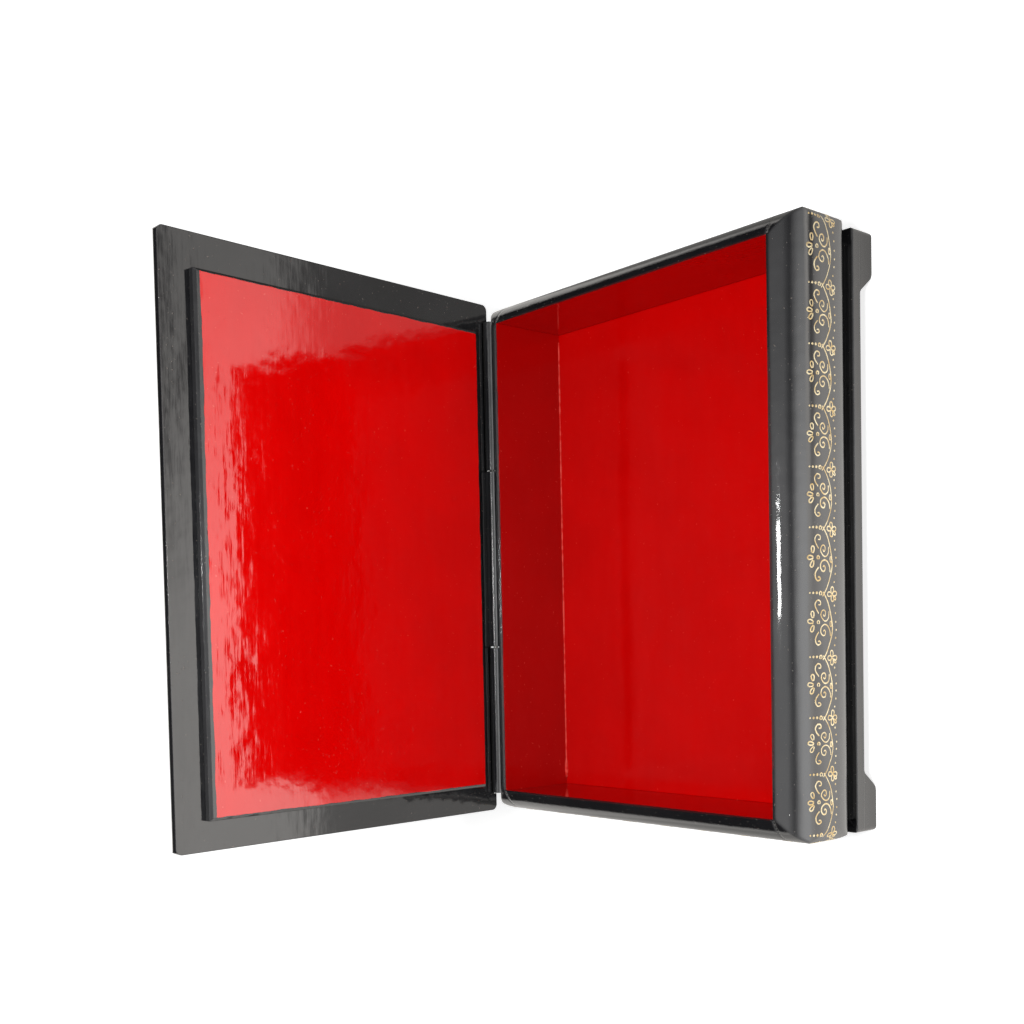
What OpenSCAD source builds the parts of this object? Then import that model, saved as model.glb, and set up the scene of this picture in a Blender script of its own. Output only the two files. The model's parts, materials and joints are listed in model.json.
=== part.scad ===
// Lacquered box with a hinged lid, on a low plinth with four bracket feet.
// X runs along the hinge, the front faces -Y, Z is up, and the feet stand on Z = 0.
// The lid is drawn open, as far as the open angle says.

/* [Body] */
// Inside length of the box, along the hinge
inner_l = 163.4; // [140:0.2:190]
// Inside depth of the box, from front to back
inner_d = 117.6; // [95:0.2:140]
// Height of the body, from the plinth to the rim
body_h = 32.5; // [31:0.1:45]
// Thickness of each end wall where it is widest
end_wall_t = 7.3; // [5:0.1:9]
// Thickness of the front wall where it is widest
front_wall_t = 9.5; // [6:0.1:11]
// Thickness of the back wall where it is widest
back_wall_t = 6.4; // [5.6:0.1:9]
// Radius of the rounded rim along each end
end_rim_r = 10.2; // [6:0.1:12]
// Radius of the rounded rim along the front
front_rim_r = 12.2; // [8:0.1:13]
// Radius of the rounded rim along the back
back_rim_r = 7; // [5:0.1:9]
// Radius of the rounding under the body
under_r = 12.6; // [10:0.1:14]
// Height above the plinth at which the walls begin to round under
under_h = 13.8; // [13:0.1:16]
// Thickness of each wall at its neck, just above the plinth
neck_t = 3; // [2.6:0.1:4]
// Radius of the four upright corners
corner_r = 4; // [0.4:0.1:5]
// Thickness of the floor panel
floor_t = 2.2; // [1.5:0.1:5]

/* [Plinth and feet] */
// Thickness of the plinth board
plinth_t = 3.5; // [2.5:0.1:8]
// How far the plinth reaches beyond the inside of each end wall
plinth_end_reach = 6.9; // [4:0.1:12]
// How far the plinth reaches beyond the inside of the front wall
plinth_front_reach = 6.2; // [4:0.1:14]
// How far the plinth reaches beyond the inside of the back wall
plinth_back_reach = 5.8; // [4:0.1:12]
// Radius of the plinth's upright corners
plinth_corner_r = 1.5; // [0.5:0.1:4]
// Radius of the rounding along the plinth's upper edges
plinth_edge_r = 0.7; // [0.3:0.1:1.6]
// Height of each foot
foot_h = 6; // [4:0.1:15]
// Length of a foot's underside, from its outer corner to where the slope would start
foot_l = 13.2; // [8:0.1:30]
// Length of the slope from the underside up to the plinth
foot_slope_l = 4.8; // [1:0.1:12]
// Radius of the turn from the underside into the slope
foot_turn_r = 3; // [0.5:0.1:3.5]
// Radius of the cove where the slope meets the plinth
foot_cove_r = 2; // [0.5:0.1:3.5]

/* [Lid] */
// Length of the lid, along the hinge
lid_l = 178; // [150:0.5:205]
// Depth of the lid, from the hinge axis to its front edge
lid_d = 128.7; // [105:0.1:155]
// Thickness of the lid board
lid_t = 6.5; // [6.4:0.1:12]
// Radius of the rounding along the lid's upper edges
lid_edge_r = 6; // [1:0.1:6.2]
// Radius of the lid's corners, seen from above
lid_corner_r = 2; // [0.5:0.1:6]
// Thickness of the raised panel under the lid
panel_t = 2.8; // [1.5:0.1:6]
// Gap between the panel and the inside of each end wall
panel_end_gap = 2.5; // [2:0.1:6]
// Gap between the panel and the insides of the front and back walls
panel_depth_gap = 3; // [1:0.1:6]
// How far the panel sits off the lid's middle, to the left where negative
panel_shift = -0.8; // [-1.5:0.1:1.5]
// Width of the bevel round the panel
panel_bevel = 0.9; // [0.2:0.1:1.2]

/* [Hinge] */
// Opening angle at which the lid is drawn
open_angle = 85; // [0:1:105]
// Depth of the hinge axis below the rim
hinge_drop = 1; // [0.4:0.1:1.6]
// Distance from the inside of the back wall to the hinge axis
hinge_setback = 4.1; // [3.8:0.1:4.6]
// Radius of the round hinge knuckles
knuckle_r = 2; // [1.6:0.05:2.1]
// Length of the knuckle that belongs to the lid
lid_knuckle_l = 61.6; // [30:0.2:90]
// Length of the whole hinge
hinge_l = 165.6; // [130:0.2:168]
// Depth of the knuckle blocks below the axis, let into the back wall
knuckle_block_h = 3.6; // [2.8:0.1:6]
// Depth to which the lid's knuckle is let into the lid board
knuckle_mortise = 2; // [1.2:0.1:3]
// Radius of the wire pin
pin_r = 0.8; // [0.5:0.05:1]

/* [Fits] */
// Gap between the rim and the closed lid
lid_gap = 0.3; // [0.1:0.05:1]
// Gap between a moving knuckle and what lies round it
knuckle_gap = 0.4; // [0.3:0.05:0.6]
// Radial clearance of the pin in the fixed knuckles
pin_fit = 0.02; // [0.01:0.01:0.05]
// Radial clearance of the pin in the lid's knuckle
pin_running = 0.05; // [0.02:0.01:0.1]

/* [Hidden] */
$fn = 64;

lacquer = [0.06, 0.06, 0.07];
red_paint = [0.78, 0.02, 0.02];
steel = [0.55, 0.55, 0.55];

// Margin by which a cutting shape passes the face that it opens
past = 1;
// How much larger a cove's cutting circle is than the cove
cove_edge = 0.03;

// Heights, from the soles of the feet
plinth_z = foot_h;
body_z = plinth_z + plinth_t;
rim_z = body_z + body_h;
hinge_z = rim_z - hinge_drop;

// The lid's outer face at the open angle lies furthest back at its rounded rear edge,
// and the front wall lies furthest forward. The origin is midway between the two.
lid_base = hinge_drop + lid_gap;
lid_back = (lid_base + lid_t - lid_edge_r) * sin(open_angle)
    - lid_edge_r * cos(open_angle) + lid_edge_r;
body_front = hinge_setback + inner_d + front_wall_t;
hinge_y = (body_front - lid_back) / 2;
inner_back_y = hinge_y - hinge_setback;
inner_front_y = inner_back_y - inner_d;
inner_mid_y = (inner_back_y + inner_front_y) / 2;

// Plinth outline
plinth_l = inner_l + 2 * plinth_end_reach;
plinth_front_y = inner_front_y - plinth_front_reach;
plinth_back_y = inner_back_y + plinth_back_reach;
plinth_d = plinth_back_y - plinth_front_y;

// Round outer section of a wall that is t thick, closed off inside the box.
// x runs outwards from the wall's inner face, y up from the body's underside.
module wall_section(t, rim_r, depth_in) {
    union() {
        translate([-depth_in, 0])
            square([depth_in + neck_t, body_h - rim_r]);
        translate([-depth_in, under_h])
            square([depth_in + t, body_h - rim_r - under_h]);
        translate([-depth_in, body_h - rim_r - past])
            square([depth_in + t - rim_r, rim_r + past]);
        intersection() {
            translate([t - rim_r, body_h - rim_r]) circle(r = rim_r);
            translate([t - rim_r, body_h - rim_r]) square(rim_r + past);
        }
        intersection() {
            translate([t - under_r, under_h]) circle(r = under_r);
            translate([-depth_in, 0]) square([depth_in + t + past, under_h]);
        }
    }
}

// Both ends' sections, drawn upright and run from the front to the back
module end_form() {
    reach = inner_d + front_wall_t + back_wall_t + 2 * past;
    for (side = [0, 1])
        mirror([side, 0, 0])
            translate([inner_l / 2, inner_back_y + back_wall_t + past, body_z])
                rotate([90, 0, 0])
                    linear_extrude(reach) wall_section(end_wall_t, end_rim_r, inner_l / 2 + past);
}

// The front and back sections, drawn upright and run from end to end
module front_back_form() {
    reach = inner_l + 2 * end_wall_t + 2 * past;
    translate([-reach / 2, inner_front_y, body_z])
        mirror([0, 1, 0]) rotate([90, 0, 90])
            linear_extrude(reach) wall_section(front_wall_t, front_rim_r, inner_d / 2 + past);
    translate([-reach / 2, inner_back_y, body_z])
        rotate([90, 0, 90])
            linear_extrude(reach) wall_section(back_wall_t, back_rim_r, inner_d / 2 + past);
}

// A flat plate with round upright corners, from its low corner
module rounded_plate(size, r) {
    linear_extrude(size[2])
        union() {
            translate([r, 0]) square([size[0] - 2 * r, size[1]]);
            translate([0, r]) square([size[0], size[1] - 2 * r]);
            for (x = [r, size[0] - r], y = [r, size[1] - r])
                translate([x, y]) circle(r = r);
        }
}

// Section of a plate along a run: square below, round above
module crowned_section(w, t, r) {
    union() {
        square([w, t - r]);
        translate([r, 0]) square([w - 2 * r, t]);
        for (x = [r, w - r])
            intersection() {
                translate([x, t - r]) circle(r = r);
                square([w, t]);
            }
    }
}

// A plate with round upper edges and round upright corners, from its low corner
module crowned_plate(size, edge_r, r) {
    intersection() {
        rotate([90, 0, 0])
            translate([0, 0, -size[1]])
                linear_extrude(size[1]) crowned_section(size[0], size[2], edge_r);
        rotate([90, 0, 90])
            linear_extrude(size[0]) crowned_section(size[1], size[2], edge_r);
        rounded_plate(size, r);
    }
}

// The body's outer form, solid
module body_form() {
    outer_l = inner_l + 2 * end_wall_t;
    outer_d = inner_d + front_wall_t + back_wall_t;
    intersection() {
        end_form();
        front_back_form();
        translate([-outer_l / 2, inner_front_y - front_wall_t, body_z])
            rounded_plate([outer_l, outer_d, body_h], corner_r);
    }
}

// A block between two heights that passes the body's outline on every side
module slab(x0, x1, y0, y1, z0, z1) {
    translate([x0, y0, z0]) cube([x1 - x0, y1 - y0, z1 - z0]);
}

outside = inner_l + inner_d;

// Slot along the back wall for the knuckle blocks
module hinge_slot() {
    slab(-hinge_l / 2, hinge_l / 2, hinge_y - knuckle_r, outside,
        hinge_z - knuckle_block_h, rim_z + past);
    slab(-lid_knuckle_l / 2 - knuckle_gap, lid_knuckle_l / 2 + knuckle_gap,
        hinge_y - knuckle_r - knuckle_gap, outside,
        hinge_z - knuckle_block_h, rim_z + past);
}

module front_wall() {
    color(lacquer)
        intersection() {
            body_form();
            slab(-outside, outside, -outside, inner_front_y, 0, rim_z + past);
        }
}

module back_wall() {
    color(lacquer)
        difference() {
            intersection() {
                body_form();
                slab(-outside, outside, inner_back_y, outside, 0, rim_z + past);
            }
            hinge_slot();
        }
}

module end_wall(side) {
    color(lacquer)
        intersection() {
            body_form();
            mirror([side > 0 ? 0 : 1, 0, 0])
                slab(inner_l / 2, outside, inner_front_y, inner_back_y, 0, rim_z + past);
        }
}

module floor_panel() {
    color(red_paint)
        slab(-inner_l / 2, inner_l / 2, inner_front_y, inner_back_y, body_z, body_z + floor_t);
}

module plinth_board() {
    color(lacquer)
        translate([-plinth_l / 2, plinth_front_y, plinth_z])
            crowned_plate([plinth_l, plinth_d, plinth_t], plinth_edge_r, plinth_corner_r);
}

// Side view of a foot: a level underside, a slope up to the plinth, a round turn between
// the two, and a cove under the plinth. The cove's circle is a hair larger than its
// radius, so that the cove ends in an edge and doesn't taper away to nothing.
module foot_section(run) {
    slope_a = atan2(foot_h, foot_slope_l);
    top_x = foot_l + foot_slope_l;
    turn = foot_turn_r * tan(slope_a / 2);
    turn_x = foot_l - turn;
    turn_end = [foot_l + turn * cos(slope_a), turn * sin(slope_a)];
    cove = foot_cove_r * tan(slope_a / 2);
    cove_x = top_x + cove;
    cove_z = foot_h - foot_cove_r;
    cove_start = [top_x - cove * cos(slope_a), foot_h - cove * sin(slope_a)];
    linear_extrude(run)
        union() {
            polygon([[0, 0], [turn_x, 0], [turn_x, foot_turn_r], turn_end,
                [top_x, foot_h], [0, foot_h]]);
            intersection() {
                translate([turn_x, foot_turn_r]) circle(r = foot_turn_r);
                polygon([[turn_x, 0], [foot_l, 0], turn_end, [turn_x, foot_turn_r]]);
            }
            difference() {
                polygon([[foot_l, foot_h], cove_start, [cove_x, cove_z], [cove_x, foot_h]]);
                translate([cove_x, cove_z]) circle(r = foot_cove_r + cove_edge);
            }
        }
}

// A foot at the low corner of the plinth, sloping along both edges
module corner_foot() {
    run = foot_l + foot_slope_l + foot_cove_r;
    intersection() {
        translate([0, run, 0]) rotate([90, 0, 0]) foot_section(run);
        rotate([90, 0, 90]) foot_section(run);
        rounded_plate([2 * run, 2 * run, foot_h], plinth_corner_r);
    }
}

module foot(x_side, y_side) {
    x = x_side * plinth_l / 2;
    y = y_side > 0 ? plinth_back_y : plinth_front_y;
    color(lacquer)
        translate([x, y, 0])
            mirror([x_side > 0 ? 1 : 0, 0, 0])
                mirror([0, y_side > 0 ? 1 : 0, 0])
                    corner_foot();
}

// Places what is drawn closed, with the hinge axis at the origin, on the open lid
module on_lid() {
    translate([0, hinge_y, hinge_z]) rotate([-open_angle, 0, 0]) children();
}

// Places what is drawn from the hinge axis on the box
module on_axis() {
    translate([0, hinge_y, hinge_z]) children();
}

// The lid board closed, seen from the hinge axis
module lid_form() {
    translate([-lid_l / 2, -lid_d, lid_base])
        crowned_plate([lid_l, lid_d, lid_t], lid_edge_r, lid_corner_r);
}

// Runs a section, drawn across the hinge, along the lid's knuckle
module along_knuckle() {
    rotate([90, 0, 90])
        translate([0, 0, -lid_knuckle_l / 2])
            linear_extrude(lid_knuckle_l) children();
}

// Section of the web that joins the knuckle's barrel to the lid
module knuckle_web() {
    translate([-knuckle_r, 0]) square([knuckle_r, lid_base + knuckle_mortise]);
}

// Rebate under the lid's rear edge that clears the fixed knuckles
module lid_rebate() {
    reach = knuckle_r + knuckle_gap;
    end = hinge_l / 2 + knuckle_gap;
    start = lid_knuckle_l / 2;
    for (side = [0, 1])
        mirror([side, 0, 0])
            slab(start, end, -reach, past, -reach, reach);
}

module lid_board() {
    color(lacquer)
        on_lid()
            difference() {
                lid_form();
                along_knuckle() union() {
                    circle(r = knuckle_r);
                    knuckle_web();
                }
                lid_rebate();
            }
}

// The raised panel, bevelled all round, closed and seen from the hinge axis
module lid_panel() {
    l = inner_l - 2 * panel_end_gap;
    back = -hinge_setback - panel_depth_gap;
    front = -hinge_setback - inner_d + panel_depth_gap;
    color(red_paint)
        on_lid()
            translate([panel_shift, 0, lid_base])
                intersection() {
                    translate([0, back, 0]) rotate([90, 0, 0])
                        linear_extrude(back - front)
                            polygon([[-l / 2, 0], [l / 2, 0],
                                [l / 2, panel_bevel - panel_t],
                                [l / 2 - panel_bevel, -panel_t],
                                [panel_bevel - l / 2, -panel_t],
                                [-l / 2, panel_bevel - panel_t]]);
                    translate([-l / 2, 0, 0]) rotate([90, 0, 90])
                        linear_extrude(l)
                            polygon([[front, 0], [back, 0],
                                [back, panel_bevel - panel_t],
                                [back - panel_bevel, -panel_t],
                                [front + panel_bevel, -panel_t],
                                [front, panel_bevel - panel_t]]);
                }
}

// A fixed knuckle: a round barrel on a block let into the back wall
module fixed_knuckle(side) {
    start = lid_knuckle_l / 2 + knuckle_gap;
    run = hinge_l / 2 - start;
    color(lacquer)
        on_axis()
            mirror([side > 0 ? 0 : 1, 0, 0])
                translate([start, 0, 0])
                    difference() {
                        rotate([90, 0, 90])
                            linear_extrude(run)
                                union() {
                                    circle(r = knuckle_r);
                                    translate([-knuckle_r, -knuckle_block_h])
                                        square([2 * knuckle_r, knuckle_block_h]);
                                }
                        translate([-past, 0, 0]) rotate([0, 90, 0])
                            cylinder(r = pin_r + pin_fit, h = run + 2 * past);
                    }
}

module hinge_knuckle_lid() {
    color(lacquer)
        on_lid()
            difference() {
                along_knuckle() union() {
                    circle(r = knuckle_r);
                    intersection() {
                        knuckle_web();
                        union() {
                            translate([-knuckle_r, 0]) square([knuckle_r, lid_base]);
                            translate([-lid_d, lid_base]) crowned_section(lid_d, lid_t, lid_edge_r);
                        }
                    }
                }
                translate([-lid_knuckle_l / 2 - past, 0, 0]) rotate([0, 90, 0])
                    cylinder(r = pin_r + pin_running, h = lid_knuckle_l + 2 * past);
            }
}

module hinge_pin() {
    color(steel)
        on_axis()
            translate([-hinge_l / 2, 0, 0]) rotate([0, 90, 0])
                cylinder(r = pin_r, h = hinge_l);
}

front_wall();
back_wall();
end_wall(-1);  // left_wall
end_wall(1);  // right_wall
floor_panel();
plinth_board();
foot(-1, -1);  // foot_front_left
foot(1, -1);  // foot_front_right
foot(-1, 1);  // foot_rear_left
foot(1, 1);  // foot_rear_right
lid_board();
lid_panel();
fixed_knuckle(-1);  // hinge_knuckle_left
fixed_knuckle(1);  // hinge_knuckle_right
hinge_knuckle_lid();
hinge_pin();
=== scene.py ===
# The looks of the hinged lacquer box: paint, gold borders, floor, light and camera
import json
import math
import random

import bpy
from mathutils import Matrix, Vector


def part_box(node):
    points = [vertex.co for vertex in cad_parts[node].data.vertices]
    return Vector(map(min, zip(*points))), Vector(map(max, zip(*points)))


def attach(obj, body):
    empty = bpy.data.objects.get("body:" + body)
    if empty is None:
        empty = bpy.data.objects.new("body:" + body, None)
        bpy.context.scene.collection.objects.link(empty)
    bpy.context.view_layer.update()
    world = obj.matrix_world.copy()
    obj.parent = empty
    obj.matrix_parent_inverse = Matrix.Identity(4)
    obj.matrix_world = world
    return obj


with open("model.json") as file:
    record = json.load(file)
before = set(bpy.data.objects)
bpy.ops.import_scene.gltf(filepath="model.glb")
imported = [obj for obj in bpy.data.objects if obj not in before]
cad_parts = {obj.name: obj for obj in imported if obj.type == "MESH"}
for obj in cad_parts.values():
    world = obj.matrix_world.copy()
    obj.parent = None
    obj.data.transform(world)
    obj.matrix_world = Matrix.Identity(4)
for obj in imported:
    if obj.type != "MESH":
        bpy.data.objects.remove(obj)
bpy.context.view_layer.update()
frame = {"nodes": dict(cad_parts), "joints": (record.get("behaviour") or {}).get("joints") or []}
nodes = frame["nodes"]
hinge = Vector(frame["joints"][0]["pos_m"])

# Lengths are in metres, unless they are said to be in mm
MM = 0.001
WALLS = ("front_wall", "back_wall", "left_wall", "right_wall")

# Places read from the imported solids
floor_low, floor_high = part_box("floor_panel")
wall_low, wall_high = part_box("front_wall")
inner_half = floor_high.x
inner_front = floor_low.y
inner_back = floor_high.y
body_z = floor_low.z
front_face = wall_low.y
back_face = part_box("back_wall")[1].y
end_face = wall_high.x
rim_z = wall_high.z

# Height of the walls
BODY_H = 32.5 * MM
# Radius of each wall's rounded rim
RIM_R = {"front": 12.2 * MM, "back": 7 * MM, "left": 10.2 * MM, "right": 10.2 * MM}
# Radius and top of the curve at the foot of the walls
UNDER_R = 12.6 * MM
UNDER_Z = body_z + 13.8 * MM
# Angle at which the lid stands open
OPEN = math.radians(85)
# Outer face of the closed lid above the hinge axis, and the lid's depth from that axis
LID_FACE = 7.8 * MM
LID_D = 128.7 * MM
# The panel's red face under the closed lid: half its length, its near and far edges from the
# hinge axis, and how far it sits off the lid's middle, to the left where negative
PANEL_HALF = 78.3 * MM
PANEL_NEAR = 8 * MM
PANEL_FAR = 116.9 * MM
PANEL_SHIFT = -0.8 * MM
# How far the lid has warped, in metres of height per square metre from the hinge
BOW = 0.22

BLACK = (0.004, 0.004, 0.005)
BLACK_WORN = (0.009, 0.009, 0.010)
BLACK_SPECK = (0.10, 0.085, 0.07)
RED = (0.66, 0.0, 0.0)
RED_DEEP = (0.60, 0.0, 0.0)
RED_STREAK = (0.66, 0.004, 0.003)
RED_DUST = (0.74, 0.10, 0.07)
GOLD_DARK = (0.58, 0.42, 0.20)
GOLD_LIGHT = (0.86, 0.76, 0.52)
WIRE_DARK = (0.30, 0.28, 0.25)
WIRE_LIGHT = (0.5, 0.48, 0.45)
FILLER_DEEP = (0.56, 0.008, 0.006)
FILLER_PALE = (0.66, 0.07, 0.055)
FLOOR_WHITE = (0.80, 0.80, 0.80)
FLOOR_WHITER = (0.82, 0.82, 0.82)
MIRRORED_WHITE = (1, 0.97, 0.93)

# Sockets of a Mix node that mixes colours
MIX_A = 6
MIX_B = 7
MIX_RESULT = 2


class Nodes:
    """A node tree, built by short calls."""

    def __init__(self, tree, output):
        self.tree = tree
        self.tree.nodes.clear()
        self.out = self.new(output)

    def new(self, kind, **props):
        node = self.tree.nodes.new(kind)
        for key, value in props.items():
            setattr(node, key, value)
        return node

    def link(self, output, socket):
        self.tree.links.new(output, socket)

    def put(self, socket, value):
        """Links an output to the socket, or sets a number. None leaves the socket as it is."""
        if hasattr(value, "is_output"):
            self.link(value, socket)
        elif value is not None:
            socket.default_value = value

    def math(self, operation, a, b=None):
        node = self.new("ShaderNodeMath", operation=operation)
        self.put(node.inputs[0], a)
        self.put(node.inputs[1], b)
        return node.outputs[0]

    def product(self, a, b):
        return self.math("MULTIPLY", a, b)

    def difference(self, a, b):
        return self.math("SUBTRACT", a, b)

    def least(self, first, *others):
        for other in others:
            first = self.math("MINIMUM", first, other)
        return first

    def blend(self, share, a, b):
        node = self.new("ShaderNodeMix")
        for socket, value in (("Factor", share), ("A", a), ("B", b)):
            self.put(node.inputs[socket], value)
        return node.outputs["Result"]

    def ramp(self, value, low, high, to_low=0.0, to_high=1.0):
        """Changes smoothly from to_low, where the value is low, to to_high, where it is high."""
        node = self.new("ShaderNodeMapRange", interpolation_type="SMOOTHSTEP")
        self.put(node.inputs["Value"], value)
        node.inputs["From Min"].default_value = low
        node.inputs["From Max"].default_value = high
        node.inputs["To Min"].default_value = to_low
        node.inputs["To Max"].default_value = to_high
        return node.outputs["Result"]

    def xyz(self, vector):
        node = self.new("ShaderNodeSeparateXYZ")
        self.link(vector, node.inputs[0])
        return node.outputs


class Paint(Nodes):
    """A material's nodes. place is the point that is painted, in the frame's own axes."""

    def __init__(self, name):
        self.material = bpy.data.materials.new(name)
        self.material.use_nodes = True
        super().__init__(self.material.node_tree, "ShaderNodeOutputMaterial")
        self.place = self.new("ShaderNodeTexCoord").outputs["Object"]

    def noise(self, scale, detail=2.0, rough=0.5, stretch=None):
        vector = self.place
        if stretch:
            mapping = self.new("ShaderNodeMapping")
            mapping.inputs["Scale"].default_value = stretch
            self.link(vector, mapping.inputs["Vector"])
            vector = mapping.outputs["Vector"]
        node = self.new("ShaderNodeTexNoise")
        self.link(vector, node.inputs["Vector"])
        node.inputs["Scale"].default_value = scale
        node.inputs["Detail"].default_value = detail
        node.inputs["Roughness"].default_value = rough
        return node.outputs["Fac"]

    def mix(self, share, a, b):
        """A colour between a and b, which are colours or outputs."""
        node = self.new("ShaderNodeMix", data_type="RGBA")
        self.put(node.inputs["Factor"], share)
        for socket, value in ((MIX_A, a), (MIX_B, b)):
            self.put(node.inputs[socket], value if hasattr(value, "is_output") else (*value, 1))
        return node.outputs[MIX_RESULT]

    def bump(self, height, distance, strength=None, normal=None):
        node = self.new("ShaderNodeBump")
        node.inputs["Distance"].default_value = distance
        self.put(node.inputs["Strength"], strength)
        self.put(node.inputs["Normal"], normal)
        self.link(height, node.inputs["Height"])
        return node.outputs["Normal"]

    def emission(self, strength, colour=None):
        node = self.new("ShaderNodeEmission")
        self.link(strength, node.inputs["Strength"])
        if colour:
            node.inputs["Color"].default_value = (*colour, 1)
        return node.outputs[0]

    def coat(self, colour, rough, fixed, normal=None):
        """Ends the material with a Principled shader. fixed gives its values that are the same
        all over, by socket."""
        shader = self.new("ShaderNodeBsdfPrincipled")
        self.link(colour, shader.inputs["Base Color"])
        self.link(rough, shader.inputs["Roughness"])
        self.put(shader.inputs["Normal"], normal)
        for socket, value in fixed.items():
            shader.inputs[socket].default_value = value
        self.link(shader.outputs[0], self.out.inputs["Surface"])
        return self.material


def lacquer(name, mask=None, plain="black", bowed=False, ripples=1.0, tone=1.0, ior=1.58,
            level=1.0, edge=0.5 * MM, dull=0.0):
    """Gloss lacquer. mask(t) gives 1 where the paint is red and 0 where it is black. Without
    a mask the paint is plain. What a bowed one mirrors is bent as the warped lid bends it.
    ripples scales the unevenness, tone darkens the red as painted shade for red faces that lie in
    shade, ior and level set the gloss, edge is the radius to which edges are rounded off, and dull
    makes it rougher."""
    t = Paint(name)
    broad = t.noise(scale=45, detail=3, rough=0.55)
    fine = t.noise(scale=700, detail=3, rough=0.6)
    brush = t.noise(scale=260, detail=3, rough=0.6, stretch=(0.12, 1, 1))
    speck = t.ramp(t.noise(scale=1500, detail=1), 0.74, 0.765)
    dust = t.ramp(t.noise(scale=1100, detail=1), 0.75, 0.772, to_high=0.4)

    black_coat = t.mix(t.ramp(broad, 0.35, 0.7), BLACK, BLACK_WORN)
    black_coat = t.mix(speck, black_coat, BLACK_SPECK)
    # tone darkens all three reds alike, as painted shade
    shaded_reds = [tuple(tone * c for c in colour) for colour in (RED_DEEP, RED, RED_STREAK)]
    red_coat = t.mix(t.ramp(broad, 0.3, 0.72), shaded_reds[0], shaded_reds[1])
    red_coat = t.mix(t.ramp(brush, 0.3, 0.75, to_high=0.25), red_coat, shaded_reds[2])
    red_coat = t.mix(dust, red_coat, RED_DUST)
    is_red = mask(t) if mask else float(plain == "red")
    colour = t.mix(is_red, black_coat, red_coat)

    rough = t.ramp(fine, 0.3, 0.75, to_low=0.045 + dull, to_high=0.09 + dull)
    rough = t.math("ADD", rough, t.ramp(broad, 0.4, 0.8, to_high=0.03))

    rounded = t.new("ShaderNodeBevel")
    rounded.inputs["Radius"].default_value = edge
    normal = rounded.outputs["Normal"]
    if bowed:
        y = closed_place(t)[1]
        normal = t.bump(t.product(t.product(y, y), BOW), distance=1.0, normal=normal)
    ripple = t.product(broad, 2.2)
    for part, share in ((brush, 0.35), (fine, 0.06), (speck, 0.25)):
        ripple = t.math("ADD", ripple, t.product(part, share))
    normal = t.bump(ripple, distance=0.35 * MM * ripples, strength=0.55, normal=normal)
    return t.coat(colour, rough, {"IOR": ior, "Specular IOR Level": level}, normal)


def inside_mask(t):
    """Red on the faces inside the box, with the edge of the paint a little uneven."""
    x, y, z = t.xyz(t.place)
    wave = t.ramp(t.noise(scale=90, detail=3, rough=0.6), 0.25, 0.75, 0.05 * MM, 0.38 * MM)
    ends = t.difference(wave, t.difference(t.math("ABSOLUTE", x), inner_half))
    back = t.difference(wave, t.difference(y, inner_back))
    front = t.difference(wave, t.difference(inner_front, y))
    top = t.difference(t.difference(rim_z - 0.25 * MM, z), t.product(wave, 1.2))
    return t.ramp(t.least(ends, back, front, top), -0.03 * MM, 0.03 * MM)


def closed_place(t):
    """Where a point of the lid lies once the lid is closed, measured from the hinge axis."""
    node = t.new("ShaderNodeMapping", vector_type="TEXTURE")
    node.inputs["Location"].default_value = hinge
    node.inputs["Rotation"].default_value = (-OPEN, 0, 0)
    t.link(t.place, node.inputs["Vector"])
    return t.xyz(node.outputs["Vector"])


def panel_mask(t):
    """Red on the panel's face and black on its bevel."""
    x, y, z = closed_place(t)
    wave = t.ramp(t.noise(scale=110, detail=3, rough=0.6), 0.25, 0.75, -0.15 * MM, 0.3 * MM)
    ends = t.difference(PANEL_HALF, t.math("ABSOLUTE", t.difference(x, PANEL_SHIFT)))
    near = t.difference(-PANEL_NEAR, y)
    far = t.math("ADD", PANEL_FAR, y)
    inwards = t.difference(t.least(ends, near, far), wave)
    return t.ramp(inwards, -0.04 * MM, 0.04 * MM)


def gold_paint(name):
    t = Paint(name)
    tone = t.noise(scale=600)
    colour = t.mix(t.ramp(tone, 0.3, 0.7), GOLD_DARK, GOLD_LIGHT)
    rough = t.ramp(tone, 0.3, 0.7, to_low=0.32, to_high=0.5)
    grain = t.noise(scale=2500, rough=0.6)
    normal = t.bump(grain, distance=0.1 * MM, strength=0.5)
    return t.coat(colour, rough, {"Metallic": 0.9}, normal)


def drawn_wire(name):
    t = Paint(name)
    drawn = t.noise(scale=900, stretch=(0.05, 1, 1))
    colour = t.mix(drawn, WIRE_DARK, WIRE_LIGHT)
    rough = t.ramp(drawn, 0.2, 0.8, to_low=0.25, to_high=0.5)
    return t.coat(colour, rough, {"Metallic": 1.0})


def filler_paint(name):
    t = Paint(name)
    tone = t.noise(scale=400, detail=3, rough=0.6)
    colour = t.mix(t.ramp(tone, 0.35, 0.6), FILLER_DEEP, FILLER_PALE)
    rough = t.ramp(tone, 0.3, 0.7, to_low=0.35, to_high=0.55)
    return t.coat(colour, rough, {"Specular IOR Level": 0.35})


black = lacquer("lacquer_black")
hinge_black = lacquer("lacquer_hinge", dull=0.16)
# The inner walls' red and the floor panel's red are darkened through tone, as painted shade
walls = lacquer("lacquer_walls", inside_mask, ripples=0.6, tone=0.58, edge=1.4 * MM)
red = lacquer("lacquer_red", plain="red", ripples=0.45, tone=0.78, ior=1.5, level=0.6, dull=0.05)
panel = lacquer("lacquer_panel", panel_mask, bowed=True)
board = lacquer("lacquer_lid", bowed=True)
gold = gold_paint("gold_paint")
wire = drawn_wire("hinge_wire")
filler = filler_paint("filler_paint")

OWN_FINISH = {"floor_panel": red, "lid_panel": panel, "lid_board": board, "hinge_pin": wire}


def finish_of(node):
    if node in WALLS:
        return walls
    if node.startswith("hinge_knuckle"):
        return hinge_black
    return OWN_FINISH.get(node, black)


for name, obj in nodes.items():
    obj.data.materials.clear()
    obj.data.materials.append(finish_of(name))


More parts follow.
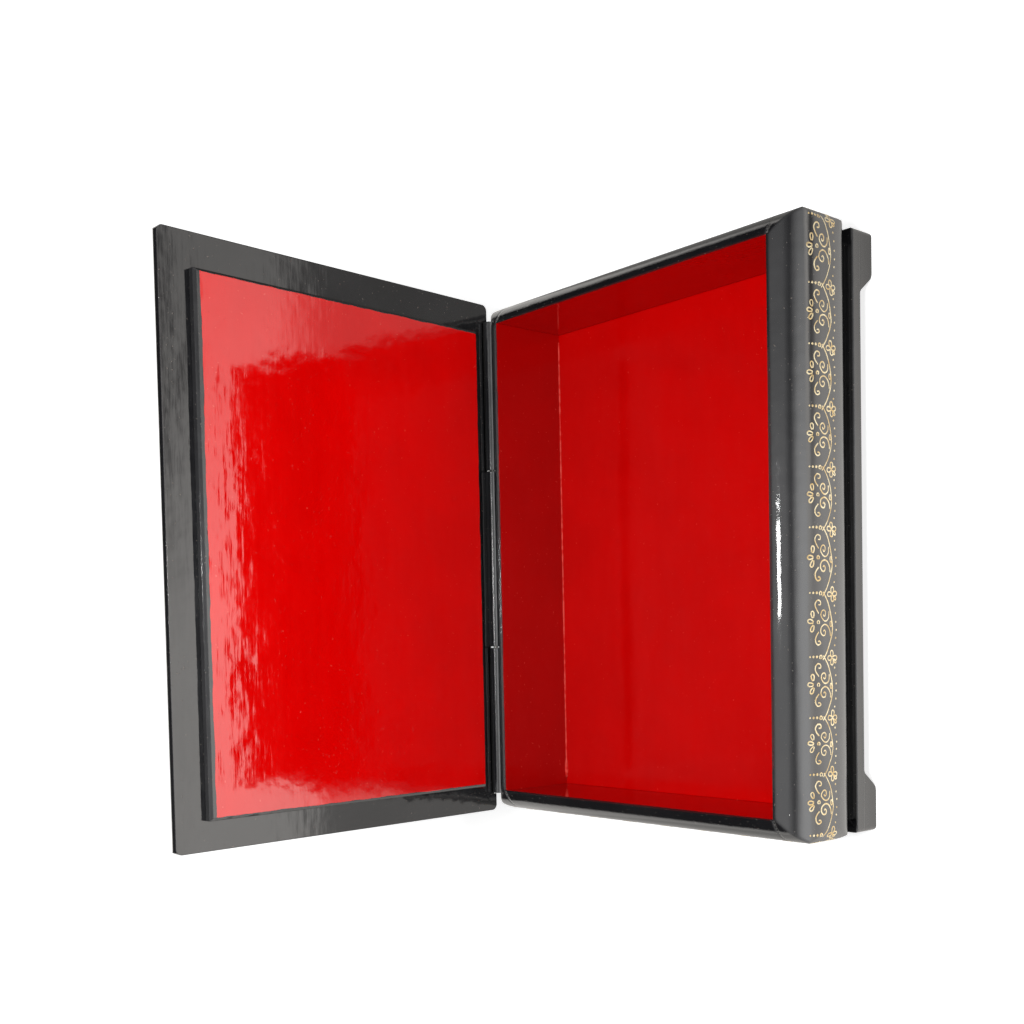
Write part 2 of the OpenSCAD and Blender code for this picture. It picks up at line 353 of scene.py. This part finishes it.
def add_mesh(name, verts, faces, rounded):
    """A new object of these vertices and faces, shaded as a rounded one or as a flat one."""
    mesh = bpy.data.meshes.new(name)
    mesh.from_pydata([tuple(v) for v in verts], [], faces)
    mesh.update()
    for poly in mesh.polygons:
        poly.use_smooth = rounded
    obj = bpy.data.objects.new(name, mesh)
    bpy.context.scene.collection.objects.link(obj)
    return obj


def skin(first, rows, sides):
    """The faces of a tube with closed ends, whose vertices start at first and lie row by row."""
    faces = []
    for row in range(rows - 1):
        for k in range(sides):
            a = first + row * sides + k
            b = first + row * sides + (k + 1) % sides
            faces.append((a, b, b + sides, a + sides))
    faces.append(tuple(first + k for k in range(sides))[::-1])
    faces.append(tuple(first + (rows - 1) * sides + k for k in range(sides)))
    return faces


# Height on the walls at which a border's s is 0
S_ZERO = 33.1 * MM
# How far the front border climbs towards the rim by its left-hand end
CLIMB = 1.6 * MM


def around(side):
    """Turns (distance u along a side of the body, distance s down it) into a point on it."""
    rim_r = RIM_R[side]
    rim_foot = body_z + BODY_H - rim_r
    flat = rim_foot - UNDER_Z
    middle = (front_face + back_face) / 2

    def place(u, s):
        s += rim_foot - S_ZERO
        if side == "front":
            s -= CLIMB * (0.5 + u / (2 * end_face))
        if s < 0:
            angle = -s / rim_r
            out = rim_r * (math.cos(angle) - 1)
            z = rim_foot + rim_r * math.sin(angle)
        elif s > flat:
            angle = (s - flat) / UNDER_R
            out = UNDER_R * (math.cos(angle) - 1)
            z = UNDER_Z - UNDER_R * math.sin(angle)
        else:
            out = 0.0
            z = rim_foot - s
        if side == "front":
            return Vector((-u, front_face - out, z))
        if side == "back":
            return Vector((u, back_face + out, z))
        if side == "left":
            return Vector((-end_face - out, middle + u, z))
        return Vector((end_face + out, middle - u, z))

    return place


def on_lid(turn, half_depth):
    """Turns (u, s) into a point on the lid's outer face, along the side that the turn about
    the face's middle gives. half_depth is the distance of its junctions from that middle."""
    spin = Matrix.Rotation(math.radians(turn), 3, "Z")
    opened = Matrix.Rotation(-OPEN, 3, "X")

    def place(u, s):
        flat = spin @ Vector((u, -half_depth * MM - (s - JUNCTION * MM), 0))
        closed = flat + Vector((0, -LID_D / 2, LID_FACE))
        return hinge + opened @ closed

    return place


def spline(before, start, stop, after, t):
    """A smooth way from start to stop, whose slopes follow their neighbours."""
    slope = stop - before
    bend = 2 * before - 5 * start + 4 * stop - after
    twist = 3 * start - before - 3 * stop + after
    return 0.5 * (2 * start + slope * t + bend * t * t + twist * t ** 3)


def smooth(points, steps=6):
    """A smooth run through the points."""
    p = [points[0]] + points + [points[-1]]
    run = []
    for i in range(1, len(p) - 2):
        for k in range(steps):
            run.append(tuple(spline(*(q[axis] for q in p[i - 1:i + 3]), k / steps) for axis in (0, 1)))
    run.append(points[-1])
    return run


def loop(x, y, length, width, angle, steps=12):
    """A leaf's outline from its stalk at (x, y), which is its narrower end."""
    cosine = math.cos(angle)
    sine = math.sin(angle)
    taper = 0.35
    run = []
    for k in range(steps + 1):
        t = 2 * math.pi * k / steps
        along = length / 2 * (1 - math.cos(t))
        across = width / 2 * math.sin(t) * (1 - taper * math.cos(t))
        run.append((x + along * cosine - across * sine, y + along * sine + across * cosine))
    return run


def ring(x, y, r, steps=10):
    turns = [2 * math.pi * k / steps for k in range(steps + 1)]
    return [(x + r * math.cos(turn), y + r * math.sin(turn)) for turn in turns]


def stray(rng, reach=0.12):
    """How far the painter's hand strays, in mm."""
    return rng.uniform(-reach, reach)


# Length of one repeat as it is drawn, and how far down its arcs meet, in mm
REPEAT = 17.2
JUNCTION = 4.4


def junction(rng):
    """Strokes and dots where two arcs meet, as (along, down) in mm: a four-leaved flower
    below the arcs, and a ring with dots that grow smaller above them."""
    strokes = []
    for k in range(4):
        length = 2.1 + stray(rng)
        turn = 90 * k + 4 + 12 * stray(rng, 1)
        strokes.append(loop(0.1, 8.1, length, 1.25, math.radians(turn)))
    strokes.append(loop(0.6, 8.7, 1.5, 0.7, math.radians(50)))
    strokes.append(ring(-0.1, 2.9, 0.5))
    strokes.append([(-0.5, 3.6), (-1.0, 3.1)])
    strokes.append([(0.5, 3.6), (1.0, 3.1)])
    dots = [(-0.2, 1.4, 0.46), (-0.2, 0.2, 0.40), (-0.2, -0.9, 0.32)]
    return strokes, dots


def motif(rng):
    """Strokes and dots of one repeat, as (along, down) in mm, between two junctions: an arc,
    a pair of facing scrolls, two commas, a three-leaved spray over a ring, a leaf and a row
    of dots. The border is a traditional one."""
    arc = smooth([(-0.5, 3.9), (0, JUNCTION), (2.0, 6.0), (4.4, 7.2 + stray(rng)), (7.4, 8.0),
                  (9.6, 8.2 + stray(rng)), (12.0, 7.6), (14.2, 6.6 + stray(rng)), (15.8, 5.6),
                  (REPEAT, JUNCTION), (17.9, 3.7)])
    left_scroll = smooth([(4.7, 6.6), (6.3 + stray(rng), 6.5), (7.3, 5.5), (7.2, 4.2),
                          (6.0, 3.0 + stray(rng)), (4.8, 3.3), (4.4, 4.3), (5.0, 5.0), (5.9, 4.8),
                          (6.0, 4.2), (5.5, 4.0)])
    right_scroll = smooth([(11.6, 7.3), (10.0, 7.0), (8.7, 6.0 + stray(rng)), (8.3, 4.6),
                           (9.0, 3.2), (10.3, 2.9 + stray(rng)), (11.2, 3.6), (11.2, 4.6),
                           (10.3, 5.0), (9.8, 4.4), (10.2, 4.0)])
    left_comma = smooth([(5.4, 2.2), (4.2, 1.2 + stray(rng)), (2.9, 0.8), (1.8, 1.6), (2.0, 2.7),
                         (2.9, 2.8), (3.0, 1.9)])
    right_comma = smooth([(10.2, 2.2), (11.6, 1.1 + stray(rng)), (13.0, 1.0), (13.8, 1.8),
                          (13.4, 2.8), (12.8, 2.4), (12.9, 1.8)])
    strokes = [arc, left_scroll, right_scroll, left_comma, right_comma]
    # The spray's three leaves, then the one under the scrolls
    for x, y, length, width, turn in ((6.6, 0.1, 1.9, 0.95, 190), (7.7, 0.3, 1.9, 1.05, 262),
                                      (8.4, 0.3, 2.0, 0.95, 330), (7.3, 7.4, 1.6, 0.8, 8)):
        strokes.append(loop(x, y, length, width, math.radians(turn + 10 * stray(rng, 1))))
    strokes.append(ring(7.7, 2.0, 0.45))
    dots = []
    for k in range(6):
        x = 3.1 + 2.2 * k
        y = 8.9 + 1.1 * math.sin(math.pi * (x - 1.5) / 14.2)
        dots.append((x + stray(rng), y + stray(rng), 0.34))
    return strokes, dots


# Radius of a stroke, how far it sinks into what it is painted on, and its height against
# its width
LINE = 0.27 * MM
SINK = 0.04 * MM
FLAT = 0.35
# How thin and how thick single strokes are against that radius, and their ends
THIN = 0.85
THICK = 1.1
TIP = 0.35
STROKE_SIDES = 6
DOT_SIDES = 8
# Angles of a dot's rows above the surface
DOT_ROWS = [math.radians(angle) for angle in (-20, 15, 50)]
# Two points closer than this give a stroke no direction
TOO_CLOSE = 1e-9


def painted(name, runs, dots):
    """Raised strokes and dots as one mesh. A stroke is a run of (point, outward normal) with
    a radius, and a dot is a point, its normal and a radius."""
    verts = []
    faces = []
    for run, r in runs:
        faces += skin(len(verts), len(run), STROKE_SIDES)
        last = len(run) - 1
        for i, (p, normal) in enumerate(run):
            ahead = run[min(i + 1, last)][0] - run[max(i - 1, 0)][0]
            if ahead.length < TOO_CLOSE:
                ahead = Vector((1, 0, 0))
            side = ahead.normalized().cross(normal).normalized()
            width = TIP if i in (0, last) else 1.0
            for k in range(STROKE_SIDES):
                a = 2 * math.pi * k / STROKE_SIDES
                verts.append(p + (side * math.cos(a) + normal * math.sin(a) * FLAT) * r * width)
    for p, normal, r in dots:
        faces += skin(len(verts), len(DOT_ROWS), DOT_SIDES)
        side = normal.orthogonal().normalized()
        up = normal.cross(side)
        for row in DOT_ROWS:
            for k in range(DOT_SIDES):
                a = 2 * math.pi * k / DOT_SIDES
                outwards = (side * math.cos(a) + up * math.sin(a)) * r * math.cos(row)
                verts.append(p + outwards + normal * r * FLAT * math.sin(row))
    return add_mesh(name, verts, faces, rounded=True)


def settle(p, solids):
    """The nearest point to p on the solids, and the surface's outward direction there."""
    hits = [solid.closest_point_on_mesh(p) for solid in solids]
    found = min((hit for hit in hits if hit[0]), key=lambda hit: (hit[1] - p).length)
    return found[1], found[2]


def border(name, places, body, solids, seed, closed=False):
    """The scroll border along each run of places: a function that puts (u, s) on the object,
    and the stations of the junctions, which are distances along the side in mm. Where the runs
    make a closed loop, the last junction of each is the next one's first."""
    rng = random.Random(seed)
    runs = []
    dots = []

    def paint(place, start, stretch, drawn):
        def at(u, s):
            p, normal = settle(place((start + u * stretch) * MM, s * MM), solids)
            return p - normal * SINK, normal

        strokes, spots = drawn
        for stroke in strokes:
            runs.append(([at(u, s) for u, s in stroke], LINE * rng.uniform(THIN, THICK)))
        for u, s, r in spots:
            dots.append((*at(u, s), r * MM))

    for place, stations in places:
        for start, stop in zip(stations, stations[1:]):
            paint(place, start, (stop - start) / REPEAT, motif(rng))
        for start in stations[:-1] if closed else stations:
            paint(place, start, 1.0, junction(rng))
    obj = painted(name, runs, dots)
    obj.data.materials.append(gold)
    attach(obj, body)


def even(half, count):
    """Junctions spaced evenly from one end of a side to the other, for so many repeats."""
    return [half * (2 * k / count - 1) for k in range(count + 1)]


# Junctions of the front border from its right-hand end, as its painter spaced them, in mm
FRONT = [-86.4, -67.6, -50.8, -33.7, -16.9, -0.1, 18.2, 36.1, 53.2, 69.2, 86.4]
# The last junctions of the back's border from its middle, and those of the ends' borders from
# the front and back faces, in mm
BACK_RUN = 85.3
END_MARGIN = 2.4
end_run = (back_face - front_face) / MM / 2 - END_MARGIN
# Half the length and half the depth of the rectangle through the junctions on the lid, in mm
LID_RUN = 76.4
LID_CROSS = 51.7

wall_solids = [nodes[wall] for wall in WALLS]
border("gold_border_front", [(around("front"), FRONT)], "box", wall_solids, seed=3)
border("gold_border_back", [(around("back"), even(BACK_RUN, 10))], "box", wall_solids, seed=5)
border("gold_border_left", [(around("left"), even(end_run, 8))], "box", wall_solids, seed=7)
border("gold_border_right", [(around("right"), even(end_run, 8))], "box", wall_solids, seed=9)
lid_places = [(on_lid(0, LID_CROSS), even(LID_RUN, 9)),
              (on_lid(90, LID_RUN), even(LID_CROSS, 6)),
              (on_lid(180, LID_CROSS), even(LID_RUN, 9)),
              (on_lid(270, LID_RUN), even(LID_CROSS, 6))]
border("gold_border_lid", lid_places, "lid", [nodes["lid_board"]], seed=13, closed=True)

# The bead of filler in the corner of the floor and the back wall
BEAD_R = 0.33 * MM
BEAD_SIDES = 8
BEAD_STEPS = 120
# Its ends from the end walls, and its middle from both faces of the corner
BEAD_MARGIN = 2.5 * MM
BEAD_OUT = 0.1 * MM


def bead(name, a, b, body):
    """A hand-laid bead of filler from a to b, uneven and with a blob near its start."""
    verts = []
    for i in range(BEAD_STEPS + 1):
        p = a.lerp(b, i / BEAD_STEPS)
        blob = 1.5 * max(0.0, 1 - abs(i - 2) / 3)
        r = BEAD_R * (0.9 + 0.12 * math.sin(0.31 * i) + 0.08 * math.sin(0.83 * i) + blob)
        for k in range(BEAD_SIDES):
            turn = 2 * math.pi * k / BEAD_SIDES
            verts.append(p + Vector((0, math.cos(turn) * r, math.sin(turn) * r)))
    obj = add_mesh(name, verts, skin(0, BEAD_STEPS + 1, BEAD_SIDES), rounded=True)
    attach(obj, body)
    obj.data.materials.append(filler)


bead_end = Vector((inner_half - BEAD_MARGIN, inner_back - BEAD_OUT, floor_high.z + BEAD_OUT))
bead_start = Vector((-bead_end.x, bead_end.y, bead_end.z))
bead("corner_filler", bead_start, bead_end, "box")


def backdrop(name):
    """A white floor that keeps a soft shadow. What the lacquer mirrors of it is painted light: it
    fades to the right, as a table does that is lit from the front left, and is darker beside the box
    as painted shadow of the box."""
    t = Paint(name)
    path = t.new("ShaderNodeLightPath").outputs
    x, y, z = t.xyz(t.place)
    diffuse = t.new("ShaderNodeBsdfDiffuse")
    t.link(t.mix(t.noise(scale=8), FLOOR_WHITE, FLOOR_WHITER), diffuse.inputs["Color"])

    seen = t.math("MAXIMUM", path["Is Camera Ray"], path["Is Transmission Ray"])
    reach = t.math("SQRT", t.math("ADD", t.product(x, x), t.product(y, y)))
    white = t.product(seen, t.ramp(reach, 0.12, 0.4, to_low=0.78, to_high=1.0))
    glow = t.product(path["Is Diffuse Ray"], 0.5)
    lit = t.new("ShaderNodeAddShader")
    t.link(diffuse.outputs[0], lit.inputs[0])
    t.link(t.emission(t.math("ADD", white, glow)), lit.inputs[1])

    # The mirrored level beside the box, darker there as painted shadow of the box, and the bands that
    # take over from it between two values of y
    shadow_beside_box = t.ramp(x, 0.09, -0.09, 0.3, 0.66)
    near = t.ramp(x, 0.16, -0.03, 0.9, 1.7)
    before = t.ramp(x, 0.11, -0.03, 0.3, 1.6)
    far = 1.85
    behind = 1.0
    level = shadow_beside_box
    for start, stop, band in ((-0.05, -0.085, near), (-0.115, -0.16, before),
                              (-0.2, -0.3, far), (0.08, 0.12, behind)):
        level = t.blend(t.ramp(y, start, stop), level, band)

    pick = t.new("ShaderNodeMixShader")
    t.link(path["Is Glossy Ray"], pick.inputs[0])
    t.link(lit.outputs[0], pick.inputs[1])
    t.link(t.emission(level, MIRRORED_WHITE), pick.inputs[2])
    t.link(pick.outputs[0], t.out.inputs["Surface"])
    return t.material


# Half the floor's width, and how far it lies below the feet
FLOOR_HALF = 4.0
FLOOR_DROP = 0.1 * MM
corners = [(x * FLOOR_HALF, y * FLOOR_HALF, 0) for x, y in ((-1, -1), (1, -1), (1, 1), (-1, 1))]
ground = add_mesh("floor", corners, [(0, 1, 2, 3)], rounded=False)
ground.location.z = -FLOOR_DROP
ground.data.materials.append(backdrop("floor_white"))


def studio(name):
    """A white room. What the lacquer mirrors of it is a dim back, a pale ceiling, a darker
    stretch and a bright front, and it is dimmer to the right."""
    world = bpy.data.worlds.new(name)
    world.use_nodes = True
    t = Nodes(world.node_tree, "ShaderNodeOutputWorld")
    path = t.new("ShaderNodeLightPath").outputs
    x, y, z = t.xyz(t.new("ShaderNodeTexCoord").outputs["Generated"])
    ceiling = t.ramp(y, 0.35, -0.1, 0.04, 0.9)
    dark_stretch = t.ramp(y, -0.5, -0.78, 0.0, -0.6)
    front = t.ramp(y, -0.74, -0.98, 0.0, 1.8)
    mirrored = t.math("ADD", ceiling, t.math("ADD", dark_stretch, front))
    mirrored = t.product(mirrored, t.ramp(x, 0.35, 0.02, 0.5, 1.03))
    level = t.blend(path["Is Diffuse Ray"], mirrored, 0.05)
    level = t.blend(path["Is Camera Ray"], level, 1.0)
    background = t.new("ShaderNodeBackground")
    background.inputs["Color"].default_value = (1, 1, 1, 1)
    t.link(level, background.inputs["Strength"])
    t.link(background.outputs[0], t.out.inputs["Surface"])
    return world


bpy.context.scene.world = studio("studio")


def softbox(name, place, aim, size, watts):
    data = bpy.data.lights.new(name, "AREA")
    data.shape = "RECTANGLE"
    data.size, data.size_y = size
    data.energy = watts
    obj = bpy.data.objects.new(name, data)
    obj.location = place
    obj.rotation_mode = "QUATERNION"
    obj.rotation_quaternion = (Vector(aim) - Vector(place)).to_track_quat("-Z", "Y")
    obj.visible_camera = False
    bpy.context.scene.collection.objects.link(obj)
    return obj


# The main light, from above the front. The lacquer mirrors the room and not this lamp
key = softbox("key", (-0.02, -0.16, 0.36), (0, 0.02, 0.06), size=(0.12, 0.12), watts=1.35)
key.visible_glossy = False
# Its mirror image is the bright streak on the front rim
softbox("streak", (0.05, -0.33, 1.0), (-0.006, -0.064, 0.042), size=(0.10, 0.03), watts=0.9)

# The camera that was fitted to the photograph: the frame's width, the focal length and the
# row of the principal point in pixels, then the camera's place and its own axes
FRAME_PX = 1024.0
FOCAL_PX = 1256.74
CENTRE_Y_PX = 703.7
SENSOR_MM = 36
CAMERA_PLACE = (-0.032385, -0.281812, 0.326551)
CAMERA_RIGHT = Vector((-0.02069151, -0.64851937, -0.76091688))
CAMERA_DOWN = Vector((-0.99889579, -0.01869859, 0.0430994))
CAMERA_AHEAD = Vector((-0.04217887, 0.76096846, -0.64741636))
camera_data = bpy.data.cameras.new("camera")
camera_data.sensor_width = SENSOR_MM
camera_data.lens = SENSOR_MM * FOCAL_PX / FRAME_PX
camera_data.shift_y = (CENTRE_Y_PX - FRAME_PX / 2) / FRAME_PX
camera_data.clip_start = 0.01
camera_data.clip_end = 20
camera = bpy.data.objects.new("camera", camera_data)
bpy.context.scene.collection.objects.link(camera)
camera_turn = Matrix((CAMERA_RIGHT, -CAMERA_DOWN, -CAMERA_AHEAD)).transposed().to_4x4()
camera.matrix_world = Matrix.Translation(CAMERA_PLACE) @ camera_turn
bpy.context.scene.camera = camera
bpy.context.scene.view_settings.view_transform = "Standard"
